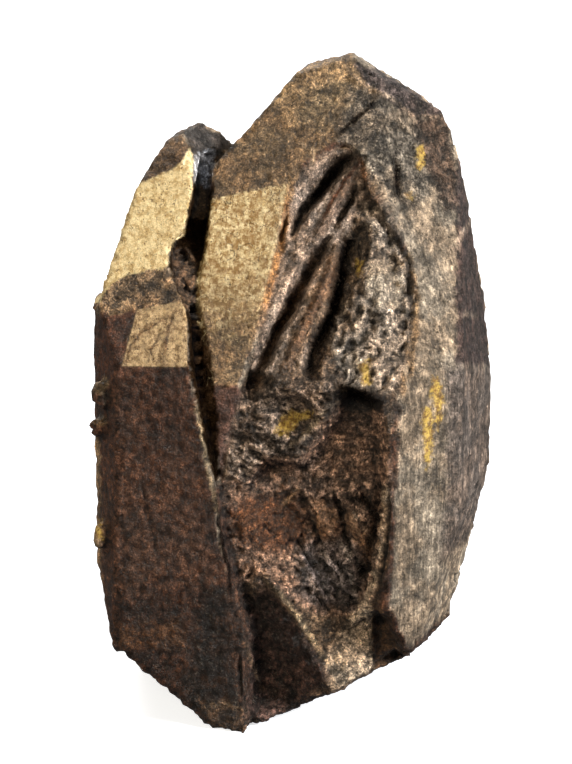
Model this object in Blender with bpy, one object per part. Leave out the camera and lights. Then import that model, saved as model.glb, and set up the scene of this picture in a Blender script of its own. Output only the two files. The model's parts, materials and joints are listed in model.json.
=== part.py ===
"""A zircon group: two dark crystals grown together in parallel, the taller one with a
broken front corner. One closed solid, standing on its flat broken base at z = 0."""

import math

import bmesh
import bpy
from mathutils import Vector, noise

MM = 0.001
BLOCK = 120.0

# Dark purple-brown zircon with a slightly greasy shine.
STONE_COLOUR = (0.062, 0.040, 0.030, 1.0)
STONE_ROUGHNESS = 0.45

# A crystal face is (azimuth, rise, reach). Azimuth is the way it looks, in degrees from
# -Y towards +X; rise is how far it looks up; reach is its distance in mm from the centre.
LEFT_CENTRE = (-8.5, -1.5, 21.0)
LEFT_FACES = {
    "front prism": (-14, 0, 6.26),
    "front pyramid": (-16, 25, 7.70),
    "front top": (-29, 43, 11.9),
    "left bevel": (-62, 1, 5.7),
    "left prism": (-98, 0, 4.7),
    "left pyramid": (-98.5, 16.4, 6.32),
    "left top": (-101, 29, 9.25),
    "left foot": (-85, -9, 6.85),
    "low left foot": (-71, -47.6, 15.1),
    "cap": (40, 80, 18.7),
    "shoulder": (-103.5, 62, 16.42),
    "right top": (55, 40, 12.3),
    "right prism": (76, 0, 6.8),
    "back prism": (166, 0, 8.0),
    "back pyramid": (164, 27, 12.6),
    "back top": (160, 50, 17.24),
    "back left prism": (-147, 0, 7.0),
    "back foot": (160, -25, 13.0),
}
RIGHT_CENTRE = (3.5, -1.0, 22.0)
RIGHT_FACES = {
    "front prism": (-12, 0, 8.31),
    "front pyramid": (-14, 27.3, 8.72),
    "left top": (-107, 38, 16.5),
    "cap": (-83, 71, 21.45),
    "corner prism": (38, 0, 8.86),
    "corner pyramid": (39, 20, 9.44),
    "corner top": (32, 24, 9.2),
    "right prism": (73, 0, 8.85),
    "right pyramid": (76, 7.5, 9.07),
    "right pyramid top": (78, 11, 9.95),
    "right top": (82, 58, 19.42),
    "right foot": (74, -13.9, 10.26),
    "low right foot": (65, -39, 15.7),
    "undercut": (50, -60.5, 18.9),
    "left pyramid": (-90, 6.8, 10.75),
    "left foot": (-90, -4.5, 9.3),
    "back right prism": (123, 0, 10.6),
    "back right pyramid": (123, 16, 11.6),
    "back prism": (168, 0, 9.5),
    "back pyramid": (165, 28, 13.5),
    "back left prism": (-147, 0, 9.5),
    "back foot": (150, -30, 17.5),
}

# The cleft between the crystals, cut into the left one: each step is (z, x of its left
# edge, depth of its floor), in mm.
CLEFT = (
    (38.5, -6.8, 2.6),
    (37.6, -6.9, 3.9),
    (35.5, -7.1, 4.0),
    (34.2, -7.5, 3.8),
    (33.4, -8.3, 3.2),
    (32.1, -8.6, 2.4),
    (30.6, -7.9, 1.8),
    (29.6, -7.4, 2.0),
    (28.4, -7.1, 3.0),
    (26.1, -7.0, 3.4),
    (23.8, -6.6, 3.2),
    (20.0, -5.9, 3.0),
    (16.2, -5.2, 2.8),
    (13.4, -4.9, 2.6),
    (11.0, -4.3, 2.4),
    (8.0, -3.6, 2.0),
)
CLEFT_FRONT = -14.0
CLEFT_RIGHT = 1.0
CLEFT_JAG = 0.22

# The broken corner, seen from the front: outlines and paths are (x, z) in mm, and a
# depth in mm goes in from the whole crystal's surface.
SCAR_STEP = 0.42
SCAR_WIDTH = (-5.6, 8.6)
SCAR_HEIGHT = (-0.6, 40.4)
SCAR_OUTLINE = (
    (3.5, 39.4), (1.4, 38.6), (0.2, 37.6), (-0.6, 35.6), (-1.0, 33.4), (-1.6, 31.2),
    (-2.4, 28.4), (-3.3, 24.7), (-3.9, 23.2), (-4.6, 20.8), (-5.3, 18.4), (-5.3, 15.0),
    (-4.9, 12.0), (-4.5, 9.0), (-3.9, 5.0), (-3.6, 1.6), (-1.0, 1.2), (2.6, 2.4),
    (5.3, 2.6), (7.3, 3.4), (6.9, 5.6), (6.2, 7.8), (5.8, 10.2), (6.5, 13.6), (6.5, 17.4),
    (6.6, 21.0), (6.9, 24.0),
    (7.9, 27.4), (8.0, 30.6), (7.2, 33.4), (5.6, 36.4), (4.8, 38.4),
)
SKIN_DEPTH = 0.3
SKIN_EDGE = 0.8
SKIN_REACH = 0.6
CLEARANCE = 0.9
# Each hollow is (outline, depth, width of its wall).
HOLLOWS = {
    "recess": (
        ((-4.8, 18.2), (-3.3, 18.0), (-2.0, 19.7), (0.3, 19.6), (1.1, 21.0), (2.4, 23.2),
         (2.9, 24.5), (4.6, 24.6), (5.8, 23.7), (6.3, 20.8), (6.2, 17.0), (6.1, 13.6),
         (5.6, 10.4), (4.4, 8.6),
         (2.2, 7.6), (0.3, 8.8), (-0.7, 9.6), (-2.2, 11.3), (-4.6, 12.5)),
        1.5, 1.1,
    ),
    "yellow hollow": (((-2.0, 24.0), (0.8, 24.2), (1.8, 22.6), (0.6, 21.0), (-1.4, 21.4)), 0.5, 0.6),
    "notch": (
        ((5.1, 10.4), (5.7, 9.7), (6.6, 7.2), (7.5, 4.4), (7.6, 2.4), (5.0, 2.2), (5.1, 6.0)),
        1.1, 0.6,
    ),
}
# Each furrow is (path, depth, half width).
FURROWS = {
    "top pit": (((3.2, 38.7), (4.1, 38.3)), 1.0, 0.7),
    "upper": (((3.4, 38.3), (2.3, 37.1), (1.3, 35.7), (0.4, 34.6), (-0.4, 33.4)), 1.8, 1.1),
    "short": (((4.4, 37.0), (3.6, 36.0), (2.9, 34.5)), 1.0, 0.6),
    "middle": (
        ((2.4, 33.7), (0.8, 31.2), (-0.3, 29.0), (-1.3, 27.1), (-2.2, 25.4), (-3.0, 24.2)),
        1.8, 1.1,
    ),
    "inner": (((3.3, 32.9), (2.6, 30.2), (2.1, 28.8), (1.3, 27.2), (0.8, 25.8)), 1.7, 1.05),
    "right border": (((5.4, 36.0), (6.3, 33.2), (6.6, 30.4), (6.9, 28.0)), 0.6, 0.5),
}
LUMP_OUTLINE = (
    (3.4, 36.2), (5.2, 36.0), (6.8, 33.0), (7.6, 30.6), (7.4, 27.6), (6.4, 24.6), (3.0, 24.8),
    (1.6, 25.6), (2.6, 28.6), (3.4, 31.0),
)
LUMP_EDGE = 1.0
LUMP_SINK = 0.35
LUMP_SIZE = 1.5
LUMP_HEIGHT = 0.75
ROUGHNESS = 0.22
ROUGH_SIZE = 1.1
ROUGH_EDGE = 1.0
RIDGE_TOP = (-2.2, 11.3)
RIDGE_FOOT = (2.4, 3.2)
RECESS_SLOPE = 4.5
# Under the recess, the ground falls away from the low ridge on both sides of it.
FACET_TOP = -0.5
FACET_EDGE = 1.5
LEFT_FALL = 0.35
LEFT_FALL_DEPTH = 1.5
LEFT_FADE = 2.0
RIGHT_FALL = 0.42
RIGHT_FALL_TOP = 9.8
RIGHT_FADE = 2.5

# The back, seen from the front: growth steps on both crystals and the rough place where
# the group broke away from its rock. Each is (outline, depth, width of its wall, roughness).
BACK_STEP = 0.75
BACK_WIDTH = (-13.5, 13.0)
BACK_HEIGHT = (-1.0, 44.0)
BACK_HOLLOWS = {
    "contact": (
        ((-4.5, 2.0), (-7.5, 6.0), (-6.0, 13.0), (-2.0, 18.5), (3.5, 20.5), (8.5, 17.0),
         (10.0, 10.0), (8.0, 4.0), (4.0, 1.0)),
        0.9, 2.2, 1.1,
    ),
    "upper step": (
        ((-2.0, 27.5), (1.0, 30.5), (6.0, 31.0), (9.5, 34.5), (7.0, 40.0), (2.0, 42.5),
         (-2.5, 39.0), (-3.5, 32.0)),
        0.4, 0.7, 0.15,
    ),
    "side step": (
        ((6.0, 24.0), (9.5, 26.0), (12.5, 23.0), (12.8, 14.0), (11.0, 9.0), (9.0, 14.0),
         (9.5, 19.0)),
        0.35, 0.7, 0.2,
    ),
    "left step": (
        ((-12.5, 20.0), (-9.5, 22.5), (-7.0, 20.5), (-6.5, 12.0), (-9.0, 8.0), (-12.0, 10.0)),
        0.4, 0.7, 0.2,
    ),
    "chip": (((-9.5, 33.0), (-7.0, 34.5), (-5.5, 31.5), (-7.0, 28.5), (-9.0, 29.5)), 0.7, 1.2, 0.5),
}
BACK_REACH = 0.5
BACK_SINK = 0.35
BACK_ROUGH_SIZE = 2.6
BACK_ROUGH_EDGE = 1.5
BACK_SEAM = (((-3.4, 41.0), (-3.9, 33.0), (-3.6, 24.0), (-4.2, 14.0), (-3.8, 3.0)), 0.8, 1.0)
# A face that looks less to the front or back than this plays no part in a relief there.
LEAST_FACING = 0.3
RELIEF_ROOM = 16.0

# Lumps grown on the left edge: (centre, size) in mm.
LUMPS = (
    ((-13.0, -6.0, 23.4), (0.6, 0.8, 0.9)),
    ((-13.25, -5.4, 20.9), (0.65, 0.8, 0.7)),
    ((-13.2, -6.0, 13.2), (0.6, 0.8, 1.1)),
    ((-13.0, -3.0, 28.6), (0.6, 1.2, 1.0)),
)


def clear_scene():
    for obj in list(bpy.data.objects):
        bpy.data.objects.remove(obj, do_unlink=True)


def face_normal(azimuth, rise):
    turn = math.radians(azimuth)
    up = math.radians(rise)
    return Vector((
        math.sin(turn) * math.cos(up),
        -math.cos(turn) * math.cos(up),
        math.sin(up),
    ))


def cut_flat(mesh, point, normal):
    """Cuts away what lies beyond the plane, and closes the cut."""
    geometry = mesh.verts[:] + mesh.edges[:] + mesh.faces[:]
    cut = bmesh.ops.bisect_plane(
        mesh, geom=geometry, plane_co=point, plane_no=normal, clear_outer=True
    )
    edges = [part for part in cut["geom_cut"] if isinstance(part, bmesh.types.BMEdge)]
    bmesh.ops.contextual_create(mesh, geom=edges)


def stone():
    material = bpy.data.materials.new("zircon")
    material.use_nodes = True
    surface = material.node_tree.nodes["Principled BSDF"]
    surface.inputs["Base Color"].default_value = STONE_COLOUR
    surface.inputs["Roughness"].default_value = STONE_ROUGHNESS
    surface.inputs["Metallic"].default_value = 0.0
    material.diffuse_color = STONE_COLOUR
    return material


def linked(name, mesh, collection):
    data = bpy.data.meshes.new(name)
    mesh.to_mesh(data)
    mesh.free()
    obj = bpy.data.objects.new(name, data)
    collection.objects.link(obj)
    return obj


def crystal(name, centre, faces, collection):
    """A block cut back to the crystal's faces."""
    mesh = bmesh.new()
    bmesh.ops.create_cube(mesh, size=BLOCK * MM)
    middle = Vector(centre) * MM
    for azimuth, rise, reach in faces.values():
        normal = face_normal(azimuth, rise)
        cut_flat(mesh, middle + normal * reach * MM, normal)
    cut_flat(mesh, Vector((0, 0, 0)), Vector((0, 0, -1)))
    bmesh.ops.recalc_face_normals(mesh, faces=mesh.faces)
    return linked(name, mesh, collection)


def smooth(value):
    value = min(max(value, 0.0), 1.0)
    return value * value * (3 - 2 * value)


def distance_to_path(x, z, path):
    nearest = math.inf
    for (ax, az), (bx, bz) in zip(path, path[1:]):
        across, up = bx - ax, bz - az
        along = ((x - ax) * across + (z - az) * up) / (across * across + up * up)
        along = min(max(along, 0.0), 1.0)
        nearest = min(nearest, math.hypot(x - ax - along * across, z - az - along * up))
    return nearest


def distance_inside(x, z, outline):
    """How far inside a closed outline the point is; negative outside."""
    inside = False
    ends = outline[1:] + outline[:1]
    for (ax, az), (bx, bz) in zip(outline, ends):
        if (az > z) != (bz > z) and x < (bx - ax) * (z - az) / (bz - az) + ax:
            inside = not inside
    distance = distance_to_path(x, z, outline + outline[:1])
    return distance if inside else -distance


def reach_of(x, z, side, centre, faces):
    """The y where the crystal's surface lies at x and z, on its front (-1) or back (1)."""
    nearest = math.inf
    for azimuth, rise, reach in faces.values():
        normal = face_normal(azimuth, rise)
        if normal.y * side > LEAST_FACING:
            offset = reach + normal.dot(Vector(centre))
            y = (offset - normal.x * x - normal.z * z) / normal.y
            nearest = min(nearest, y * side)
    return nearest * side


def roughness(x, z, size, seed):
    return noise.fractal(Vector((x / size, seed, z / size)), 0.6, 2.0, 3)


def scar_depth(x, z):
    inside = distance_inside(x, z, SCAR_OUTLINE)
    depth = -CLEARANCE + (CLEARANCE + SKIN_DEPTH) * smooth((inside + SKIN_REACH) / SKIN_EDGE)
    if inside < -SKIN_REACH:
        return depth
    for name, (outline, hollow, wall) in HOLLOWS.items():
        level = smooth(distance_inside(x, z, outline) / wall)
        if name == "recess":
            level *= smooth(beside_ridge(x, z)[0] / RECESS_SLOPE)
        depth += hollow * level
    for path, furrow, half_width in FURROWS.values():
        depth += furrow * smooth(1 - distance_to_path(x, z, path) / half_width)
    lumpy = smooth(distance_inside(x, z, LUMP_OUTLINE) / LUMP_EDGE)
    depth += lumpy * (LUMP_SINK + LUMP_HEIGHT * roughness(x, z, LUMP_SIZE, 7.0))
    depth += lower_facets(x, z)
    depth += ROUGHNESS * roughness(x, z, ROUGH_SIZE, 3.0) * smooth(inside / ROUGH_EDGE)
    return depth


def beside_ridge(x, z):
    """How far the point is to the right of the low ridge, and how far down along it."""
    ax, az = RIDGE_TOP
    bx, bz = RIDGE_FOOT
    length = math.hypot(bx - ax, bz - az)
    side = ((bx - ax) * (z - az) - (bz - az) * (x - ax)) / length
    down = ((bx - ax) * (x - ax) + (bz - az) * (z - az)) / length
    return side, down


def lower_facets(x, z):
    """The two broken faces under the recess, which meet at the low ridge."""
    side, down = beside_ridge(x, z)
    inside = smooth((down - FACET_TOP) / FACET_EDGE)
    if side < 0:
        return inside * min(LEFT_FALL * -side, LEFT_FALL_DEPTH) * smooth(z / LEFT_FADE)
    return inside * RIGHT_FALL * side * smooth((RIGHT_FALL_TOP - z) / RIGHT_FADE)


def back_depth(x, z):
    deepest = -CLEARANCE
    for outline, hollow, wall, rough in BACK_HOLLOWS.values():
        inside = distance_inside(x, z, outline)
        level = smooth((inside + BACK_REACH) / wall)
        ground = BACK_SINK + roughness(x, z, BACK_ROUGH_SIZE, 11.0)
        broken = rough * ground * smooth(inside / BACK_ROUGH_EDGE)
        deepest = max(deepest, -CLEARANCE + (CLEARANCE + hollow) * level + broken)
    path, furrow, half_width = BACK_SEAM
    nearness = max(0.0, 1 - distance_to_path(x, z, path) / half_width)
    return deepest + (CLEARANCE + furrow) * nearness


def back_surface(x, z):
    """The y of the pair's back, and of what is cut from it."""
    left = reach_of(x, z, 1, LEFT_CENTRE, LEFT_FACES)
    right = reach_of(x, z, 1, RIGHT_CENTRE, RIGHT_FACES)
    whole = left if x < BACK_SEAM[0][0][0] else right
    return whole - back_depth(x, z)


def scar_surface(x, z):
    return reach_of(x, z, -1, RIGHT_CENTRE, RIGHT_FACES) + scar_depth(x, z)


def relief_cutter(name, side, width, height, step, surface, collection):
    """A block on the front (-1) or back (1) of the crystals, whose near side is a relief."""
    columns = round((width[1] - width[0]) / step)
    rows = round((height[1] - height[0]) / step)
    mesh = bmesh.new()
    bmesh.ops.create_grid(mesh, x_segments=columns, y_segments=rows, size=0.5)
    for vert in mesh.verts:
        x = width[0] + (vert.co.x + 0.5) * (width[1] - width[0])
        z = height[0] + (vert.co.y + 0.5) * (height[1] - height[0])
        vert.co = Vector((x, surface(x, z), z)) * MM
    bmesh.ops.triangulate(mesh, faces=mesh.faces[:], quad_method="SHORT_EDGE")
    far = bmesh.ops.extrude_face_region(mesh, geom=mesh.faces[:])
    for part in far["geom"]:
        if isinstance(part, bmesh.types.BMVert):
            part.co.y = side * RELIEF_ROOM * MM
    bmesh.ops.recalc_face_normals(mesh, faces=mesh.faces)
    return linked(name, mesh, collection)


def cleft_cutter(collection):
    """A wedge swept down the cleft: each step is a four-sided ring, joined to the next."""
    mesh = bmesh.new()
    rings = []
    for z, left, depth in CLEFT:
        floor = reach_of(left, z, -1, LEFT_CENTRE, LEFT_FACES) + depth
        jag = CLEFT_JAG * noise.noise(Vector((z, 0.0, 5.0)))
        corners = (
            (left + jag, CLEFT_FRONT),
            (left + 0.3 - jag, floor),
            (CLEFT_RIGHT, floor + 0.4),
            (CLEFT_RIGHT, CLEFT_FRONT),
        )
        rings.append([mesh.verts.new(Vector((x, y, z)) * MM) for x, y in corners])
    for upper, lower in zip(rings, rings[1:]):
        for index in range(4):
            after = (index + 1) % 4
            mesh.faces.new((upper[index], upper[after], lower[after], lower[index]))
    mesh.faces.new(rings[0])
    mesh.faces.new(rings[-1])
    bmesh.ops.recalc_face_normals(mesh, faces=mesh.faces)
    return linked("cleft_cutter", mesh, collection)


def boolean(obj, other, operation):
    modifier = obj.modifiers.new(other.name, "BOOLEAN")
    modifier.operation = operation
    modifier.solver = "EXACT"
    modifier.object = other


def helper(obj):
    obj.hide_render = True
    obj.display_type = "WIRE"


def lump(name, centre, size, collection):
    mesh = bmesh.new()
    bmesh.ops.create_icosphere(mesh, subdivisions=2, radius=1.0)
    for vert in mesh.verts:
        bump = 1 + 0.25 * noise.noise(vert.co * 1.3 + Vector(centre))
        vert.co = (Vector(centre) + Vector(size) * vert.co * bump) * MM
    return linked(name, mesh, collection)


def centre_on_origin(group, others, collection):
    """Stands the group with the middle of its box over the origin, its helpers with it."""
    bpy.context.view_layer.update()
    solid = group.evaluated_get(bpy.context.evaluated_depsgraph_get())
    corners = [Vector(corner) for corner in solid.bound_box]
    low_x, high_x = min(c.x for c in corners), max(c.x for c in corners)
    low_y, high_y = min(c.y for c in corners), max(c.y for c in corners)
    stand = bpy.data.objects.new("stand", None)
    collection.objects.link(stand)
    for obj in (group, *others):
        obj.parent = stand
    stand.location = (-(low_x + high_x) / 2, -(low_y + high_y) / 2, 0.0)


def main():
    clear_scene()
    kept = bpy.data.collections.new("zircon")
    helpers = bpy.data.collections.new("helpers")
    for collection in (kept, helpers):
        bpy.context.scene.collection.children.link(collection)
    group = crystal("zircon_crystals", RIGHT_CENTRE, RIGHT_FACES, kept)
    left = crystal("left_crystal", LEFT_CENTRE, LEFT_FACES, helpers)
    scar = relief_cutter(
        "scar_cutter", -1, SCAR_WIDTH, SCAR_HEIGHT, SCAR_STEP, scar_surface, helpers
    )
    back = relief_cutter(
        "back_cutter", 1, BACK_WIDTH, BACK_HEIGHT, BACK_STEP, back_surface, helpers
    )
    cleft = cleft_cutter(helpers)
    boolean(left, cleft, "DIFFERENCE")
    boolean(group, scar, "DIFFERENCE")
    boolean(group, left, "UNION")
    boolean(group, back, "DIFFERENCE")
    lumps = [lump(f"lump_{i}", centre, size, helpers) for i, (centre, size) in enumerate(LUMPS)]
    for grown in lumps:
        boolean(group, grown, "UNION")
    others = (left, scar, back, cleft, *lumps)
    for obj in others:
        helper(obj)
    group.data.materials.append(stone())
    centre_on_origin(group, others, kept)


main()
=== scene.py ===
"""The looks of the zircon group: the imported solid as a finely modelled, weathered stone."""

import json
import math

import bmesh
import bpy
import numpy as np
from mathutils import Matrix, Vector, bvhtree, noise

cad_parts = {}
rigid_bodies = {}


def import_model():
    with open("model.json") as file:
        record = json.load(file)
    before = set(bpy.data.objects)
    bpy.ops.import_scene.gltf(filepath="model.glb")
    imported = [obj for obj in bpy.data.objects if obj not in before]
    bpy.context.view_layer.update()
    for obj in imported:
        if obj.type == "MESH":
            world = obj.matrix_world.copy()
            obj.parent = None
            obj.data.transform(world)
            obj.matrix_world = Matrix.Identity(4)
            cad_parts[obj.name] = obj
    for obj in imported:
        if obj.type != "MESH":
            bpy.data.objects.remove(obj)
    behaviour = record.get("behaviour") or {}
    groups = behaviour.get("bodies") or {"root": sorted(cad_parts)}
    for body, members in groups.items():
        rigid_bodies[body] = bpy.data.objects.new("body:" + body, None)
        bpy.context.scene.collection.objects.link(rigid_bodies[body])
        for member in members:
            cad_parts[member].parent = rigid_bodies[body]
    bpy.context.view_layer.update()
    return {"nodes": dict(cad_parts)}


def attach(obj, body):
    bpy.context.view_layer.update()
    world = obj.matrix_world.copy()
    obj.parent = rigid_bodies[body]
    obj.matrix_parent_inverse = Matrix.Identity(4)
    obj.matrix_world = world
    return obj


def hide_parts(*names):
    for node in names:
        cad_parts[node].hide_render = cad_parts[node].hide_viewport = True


MM = 0.001
NODE = "zircon_crystals"

# The camera, in mm and degrees, and its picture of 572 x 764 pixels.
PICTURE = (572, 764)
LENS = 120.0
SENSOR = 36.0
TARGET = (-0.591, 0.485, 22.3)
ELEVATION = 18.0
DISTANCE = 176.12
FOCAL_PIXELS = LENS / SENSOR * PICTURE[1]

FACE_SIZE = 0.32
"""The size in mm of the stone's surface faces; half of it on its front."""
NOISE_SEED = 4
"""Without a seed of its own, Blender's noise vectors change with the clock."""


# ---------------------------- camera

def camera_axes():
    rise = math.radians(ELEVATION)
    back = np.array([0.0, -math.cos(rise), math.sin(rise)])
    up = np.array([0.0, math.sin(rise), math.cos(rise)])
    return np.array([1.0, 0.0, 0.0]), up, back


def camera_place():
    return np.array(TARGET) + camera_axes()[2] * DISTANCE


def make_camera():
    data = bpy.data.cameras.new("camera")
    data.lens = LENS
    data.sensor_width = SENSOR
    data.clip_start = 0.01
    data.clip_end = 20.0
    camera = bpy.data.objects.new("camera", data)
    bpy.context.scene.collection.objects.link(camera)
    place = Vector(camera_place()) * MM
    camera.location = place
    camera.rotation_euler = (Vector(TARGET) * MM - place).to_track_quat("-Z", "Y").to_euler()
    bpy.context.scene.camera = camera


# ---------------------------- marks on the front
# Outlines and paths in pixels of the front picture.

SCAR = (
    (352, 143), (325, 152), (305, 168), (294, 183), (290, 205), (284, 240), (275, 272),
    (262, 325), (250, 360), (243, 387), (236, 420), (226, 460), (220, 480), (226, 530),
    (231, 590), (240, 620), (240, 735), (300, 712), (375, 670), (400, 660), (378, 603),
    (388, 560), (390, 500), (390, 450), (396, 405), (410, 340), (413, 290), (400, 245),
    (380, 200), (368, 165),
)
ETCHED = (
    (350, 84), (375, 94), (412, 118), (432, 122), (436, 180), (415, 212), (395, 205),
    (372, 180), (350, 150), (335, 140),
)
WRINKLED = ((300, 495), (384, 480), (388, 530), (376, 590), (352, 620), (300, 600), (280, 560))
FAN = (
    (352, 146), (330, 150), (305, 168), (290, 205), (284, 245), (275, 275), (262, 325),
    (250, 372), (300, 385), (325, 345), (345, 240), (368, 180),
)
GREY_GROUND = ((243, 388), (330, 385), (335, 405), (300, 455), (245, 480), (222, 478), (228, 440))
GREY_FACET = ((367, 262), (390, 258), (402, 282), (399, 309), (376, 309), (366, 285))
FINE_GROUND = (
    (100, 290), (130, 190), (190, 128), (245, 150), (330, 60), (390, 80), (450, 118),
    (448, 400), (405, 660), (300, 725), (225, 740), (150, 660), (100, 560),
)

# Each groove is (path, width of its left bank, width of its right bank, depth in mm).
FURROWS = {
    "upper": (((357, 156), (343, 164), (330, 178), (317, 194), (303, 213), (294, 232)), 18, 9, 1.7),
    "short": (((357, 186), (350, 200), (340, 215), (333, 230)), 8, 6, 0.7),
    "middle": (
        ((330, 238), (315, 261), (297, 296), (280, 325), (265, 359), (251, 388)), 17, 10, 1.7,
    ),
    "inner": (
        ((338, 258), (343, 285), (334, 314), (316, 342), (308, 362), (309, 380)), 12, 10, 1.8,
    ),
}
FAN_EDGE = 10.0
"""How soft the fan's outline is, in pixels."""
FAN_SKIN = 0.3
"""How far the fan of furrows lies under the crystal's face, in mm."""
GROOVES = {
    "mass border": (((394, 236), (408, 261), (413, 300), (410, 332), (400, 360)), 5, 4, 0.28),
    "under mass": (((336, 384), (350, 392), (366, 404), (380, 404)), 6, 7, 0.35),
    "ledge": (((281, 446), (296, 440), (316, 420), (330, 407)), 6, 4, 0.30),
    "pit": (((396, 158), (399, 178), (401, 200)), 6, 5, 0.55),
    "rim crack": (((389, 484), (388, 529), (383, 560), (375, 606)), 3, 3, 0.40),
    "rim bank": (((380, 480), (376, 520), (371, 560), (360, 596), (345, 612)), 16, 4, 0.40),
    "top crack": (((373, 97), (372, 105), (355, 119), (343, 130), (335, 138)), 2.5, 2.5, 0.18),
    "suture": (((217, 508), (222, 545), (229, 570), (230, 605)), 3, 3, 0.22),
    "slit": (((239, 655), (242, 697)), 4, 4, 0.35),
    "wrinkle one": (((333, 494), (341, 512), (345, 532), (352, 556)), 6, 5, 0.55),
    "wrinkle two": (((354, 490), (366, 500), (374, 522)), 6, 5, 0.50),
    "wrinkle three": (((306, 506), (314, 526), (322, 546)), 5, 5, 0.45),
    "wrinkle four": (((330, 552), (345, 576), (356, 602)), 4, 4, 0.40),
    "wrinkle five": (((296, 540), (310, 562), (326, 592), (334, 608)), 5, 4, 0.40),
    "wrinkle six": (((354, 556), (364, 574), (366, 592)), 4, 4, 0.40),
    "left crack": (((140, 475), (146, 505), (152, 530), (158, 565)), 1.8, 1.8, 0.07),
}

# Each ridge is (path, half width, height in mm).
RIDGES = {
    "first": (((363, 166), (350, 180), (336, 200), (326, 222), (312, 245)), 5, 0.22),
    "second": (((340, 240), (326, 285), (306, 323), (294, 348), (284, 375)), 5, 0.25),
    "left bank": (((302, 245), (290, 275), (276, 310), (262, 345)), 6, 0.15),
    "upper rim": (((345, 66), (358, 81), (378, 91), (396, 101), (414, 115), (446, 118)), 3, 0.10),
    "apex line": (((348, 72), (357, 84), (352, 101), (340, 115), (326, 134)), 3, 0.08),
    "border": (((358, 148), (368, 172), (380, 198), (398, 238)), 9, 0.55),
    "lump one": (((315, 500), (324, 516), (332, 540)), 9, 0.50),
    "lump two": (((352, 508), (360, 526), (370, 552)), 9, 0.50),
    "lump three": (((372, 532), (374, 548), (370, 560)), 5, 0.30),
    "fold one": (((322, 548), (338, 570), (352, 600)), 5, 0.32),
    "fold two": (((304, 556), (318, 580), (334, 606)), 5, 0.30),
    "fold three": (((343, 556), (354, 576), (362, 596)), 4, 0.30),
    "ledge": (((290, 446), (304, 436), (321, 414), (332, 404)), 4, 0.25),
    "rim": (((386, 484), (382, 525), (377, 570), (367, 603), (352, 622)), 4, 0.20),
    "foot": (((267, 579), (282, 597), (296, 615), (324, 657), (333, 672)), 4, 0.25),
    "line": (((299, 488), (291, 497), (283, 505)), 2.5, 0.12),
    "streak": (((243, 640), (253, 665), (262, 690)), 3, 0.15),
}

# Outlines of the painted reflections: a light's golden reflection on each crystal's front pyramid face,
# and a pane-shaped painted reflection below the left one.
GOLD_REFLECTION_LEFT = (
    (120, 178), (141, 182), (168, 171), (180, 163), (187, 150), (191, 147), (194, 160),
    (193, 190), (188, 208), (185, 235), (174, 243), (169, 255), (168, 268), (150, 270),
    (125, 277), (111, 284), (100, 303), (80, 303), (100, 230),
)
PANE_REFLECTION_LEFT = ((137, 310), (180, 301), (185, 309), (187, 320), (187, 367), (122, 366))
GOLD_REFLECTION_RIGHT = (
    (210, 199), (250, 190), (291, 182), (286, 200), (282, 220), (279, 243), (271, 272),
    (258, 325), (247, 360), (240, 388), (205, 388), (202, 340), (195, 310), (196, 280),
    (205, 245),
)
OCHRE = {
    "scar": ((281, 415), (292, 410), (306, 411), (315, 409), (311, 418), (298, 424), (288, 435),
             (278, 437), (274, 433)),
    "right upper": ((432, 376), (440, 378), (444, 398), (442, 420), (437, 432), (434, 410), (431, 392)),
    "right lower": ((424, 408), (431, 405), (433, 430), (432, 462), (426, 474), (423, 450), (421, 425)),
    "top": ((415, 147), (423, 144), (425, 160), (420, 171), (415, 166)),
    "bump": ((92, 520), (102, 520), (103, 540), (95, 543)),
    "mass": ((354, 262), (362, 259), (364, 272), (358, 277)),
    "low mass": ((358, 364), (369, 358), (372, 382), (363, 386)),
    "pit": ((405, 193), (413, 191), (413, 199), (406, 201)),
}

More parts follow.
